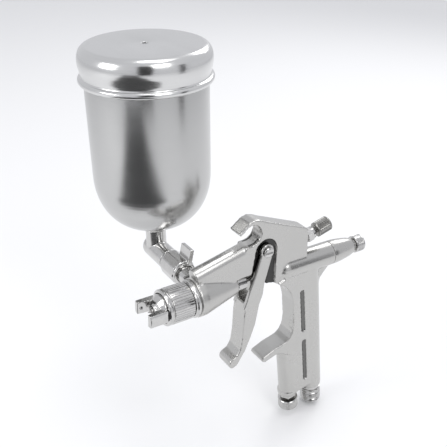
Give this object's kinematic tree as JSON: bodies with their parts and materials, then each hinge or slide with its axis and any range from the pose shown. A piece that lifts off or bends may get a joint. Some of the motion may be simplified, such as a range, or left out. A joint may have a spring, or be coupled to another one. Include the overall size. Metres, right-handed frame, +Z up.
{
  "type": "hvlp spray gun",
  "caption": "Small side-cup HVLP spray gun with a hanging hook, lever trigger, horned air cap, needle and air valves, steel cup with lid and a threaded air inlet.",
  "frame": {"origin": "centre of the air inlet's mouth", "axes": "+X is the spray direction, +Z is up, the cup hangs on -Y"},
  "size_m": [0.1487, 0.0994, 0.2314],
  "materials": {
    "cast_nickel": "satin pearl nickel plate over cast metal",
    "chrome": "polished nickel-chrome plate",
    "stainless": "fine turned",
    "satin_steel": "satin spun, polished lid",
    "spring_steel": "drawn wire",
    "brass": "turned",
    "dark_knob": "dark nickel, knurled",
    "black_rubber": "smooth",
    "white_plastic": "smooth"
  },
  "bodies": {
    "gun": {"gun_body": "cast_nickel", "head_collar": "chrome", "fluid_nozzle": "stainless", "air_baffle": "brass", "paint_inlet": "chrome", "packing_nut": "chrome", "needle_packing": "white_plastic", "air_valve_seat": "brass", "rear_sleeve": "cast_nickel", "sleeve_oring": "black_rubber", "pattern_guide": "chrome", "regulator_guide": "chrome", "air_inlet": "chrome", "air_valve_spring": "spring_steel", "pivot_screw": "chrome", "pivot_nut": "chrome"},
    "trigger": {"trigger": "cast_nickel"},
    "valve": {"air_valve_stem": "stainless", "air_valve_seal": "black_rubber"},
    "needle": {"fluid_needle": "stainless", "needle_collar": "brass"},
    "needle_stop": {"needle_spring": "spring_steel"},
    "fluid_knob": {"fluid_knob": "chrome"},
    "pattern_seal": {"pattern_oring": "black_rubber"},
    "pattern_knob": {"pattern_knob": "dark_knob", "pattern_stem": "stainless"},
    "regulator_seal": {"regulator_oring": "black_rubber"},
    "regulator_knob": {"regulator_knob": "chrome", "regulator_stem": "stainless"},
    "air_cap": {"air_cap": "chrome"},
    "ring": {"retaining_ring": "chrome"},
    "cup": {"cup_elbow": "chrome", "cup": "satin_steel", "cup_outlet": "chrome", "outlet_gasket": "white_plastic"},
    "lid": {"lid": "satin_steel", "lid_seal": "white_plastic"},
    "wing_nut": {"wing_nut": "chrome"}
  },
  "joints": [
    {"name": "trigger_pull", "type": "hinge", "parent": "gun", "child": "trigger", "pos_m": [0.04979, 0, 0.12834], "axis": [0, 1, 0], "range_deg": [0, 12], "stiffness_Nm_per_rad": 0.8, "springref_deg": -22.92},
    {"name": "valve_slide", "type": "slide", "parent": "gun", "child": "valve", "axis": [-1, 0, 0], "range_m": [0, 0.004], "deforming": ["air_valve_spring"]},
    {"name": "needle_slide", "type": "slide", "parent": "gun", "child": "needle", "axis": [-1, 0, 0], "range_m": [0, 0.004], "deforming": ["needle_spring"]},
    {"name": "fluid_knob_travel", "type": "slide", "parent": "gun", "child": "needle_stop", "axis": [-1, 0, 0], "range_m": [-0.001, 0.002]},
    {"name": "fluid_knob_turn", "type": "hinge", "parent": "needle_stop", "child": "fluid_knob", "pos_m": [-0.02121, 0, 0.11034], "axis": [-1, 0, 0], "range_deg": [-361, 721]},
    {"name": "pattern_knob_travel", "type": "slide", "parent": "gun", "child": "pattern_seal", "axis": [-0.9646, 0, 0.2639], "range_m": [-0.0011, 0.0013]},
    {"name": "pattern_knob_turn", "type": "hinge", "parent": "pattern_seal", "child": "pattern_knob", "pos_m": [0.02059, 0, 0.12645], "axis": [-0.9646, 0, 0.2639], "range_deg": [-400, 500]},
    {"name": "regulator_travel", "type": "slide", "parent": "gun", "child": "regulator_seal", "axis": [-0.1495, 0, -0.9888], "range_m": [-0.0011, 0.0013]},
    {"name": "regulator_turn", "type": "hinge", "parent": "regulator_seal", "child": "regulator_knob", "pos_m": [0.02132, 0, 0.01862], "axis": [-0.1495, 0, -0.9888], "range_deg": [-400, 500]},
    {"name": "air_cap_turn", "type": "hinge", "parent": "gun", "child": "air_cap", "pos_m": [0.11079, 0, 0.11034], "axis": [1, 0, 0], "range_deg": [-90, 90]},
    {"name": "ring_turn", "type": "hinge", "parent": "gun", "child": "ring", "pos_m": [0.10379, 0, 0.11034], "axis": [1, 0, 0], "range_deg": [0, 30]},
    {"name": "cup_swivel", "type": "hinge", "parent": "gun", "child": "cup", "pos_m": [0.08439, -0.038, 0.11034], "axis": [0, 1, 0], "range_deg": [-30, 30]},
    {"name": "wing_nut_turn", "type": "hinge", "parent": "gun", "child": "wing_nut", "pos_m": [0.08439, -0.03, 0.11034], "axis": [0, 1, 0], "range_deg": [-15, 120]},
    {"name": "lid_lift", "type": "slide", "parent": "cup", "child": "lid", "axis": [0.0436, 0, 0.999], "range_m": [0, 0.025]}
  ],
  "couplings": [
    {"joint": "valve_slide", "follows": "trigger_pull", "m_per_rad": 0.0186},
    {"joint": "needle_slide", "follows": "trigger_pull", "m_per_rad": 0.0186},
    {"joint": "fluid_knob_turn", "follows": "fluid_knob_travel", "rad_per_m": 6283.2},
    {"joint": "pattern_knob_turn", "follows": "pattern_knob_travel", "rad_per_m": 6283.2},
    {"joint": "regulator_turn", "follows": "regulator_travel", "rad_per_m": 6283.2}
  ]
}
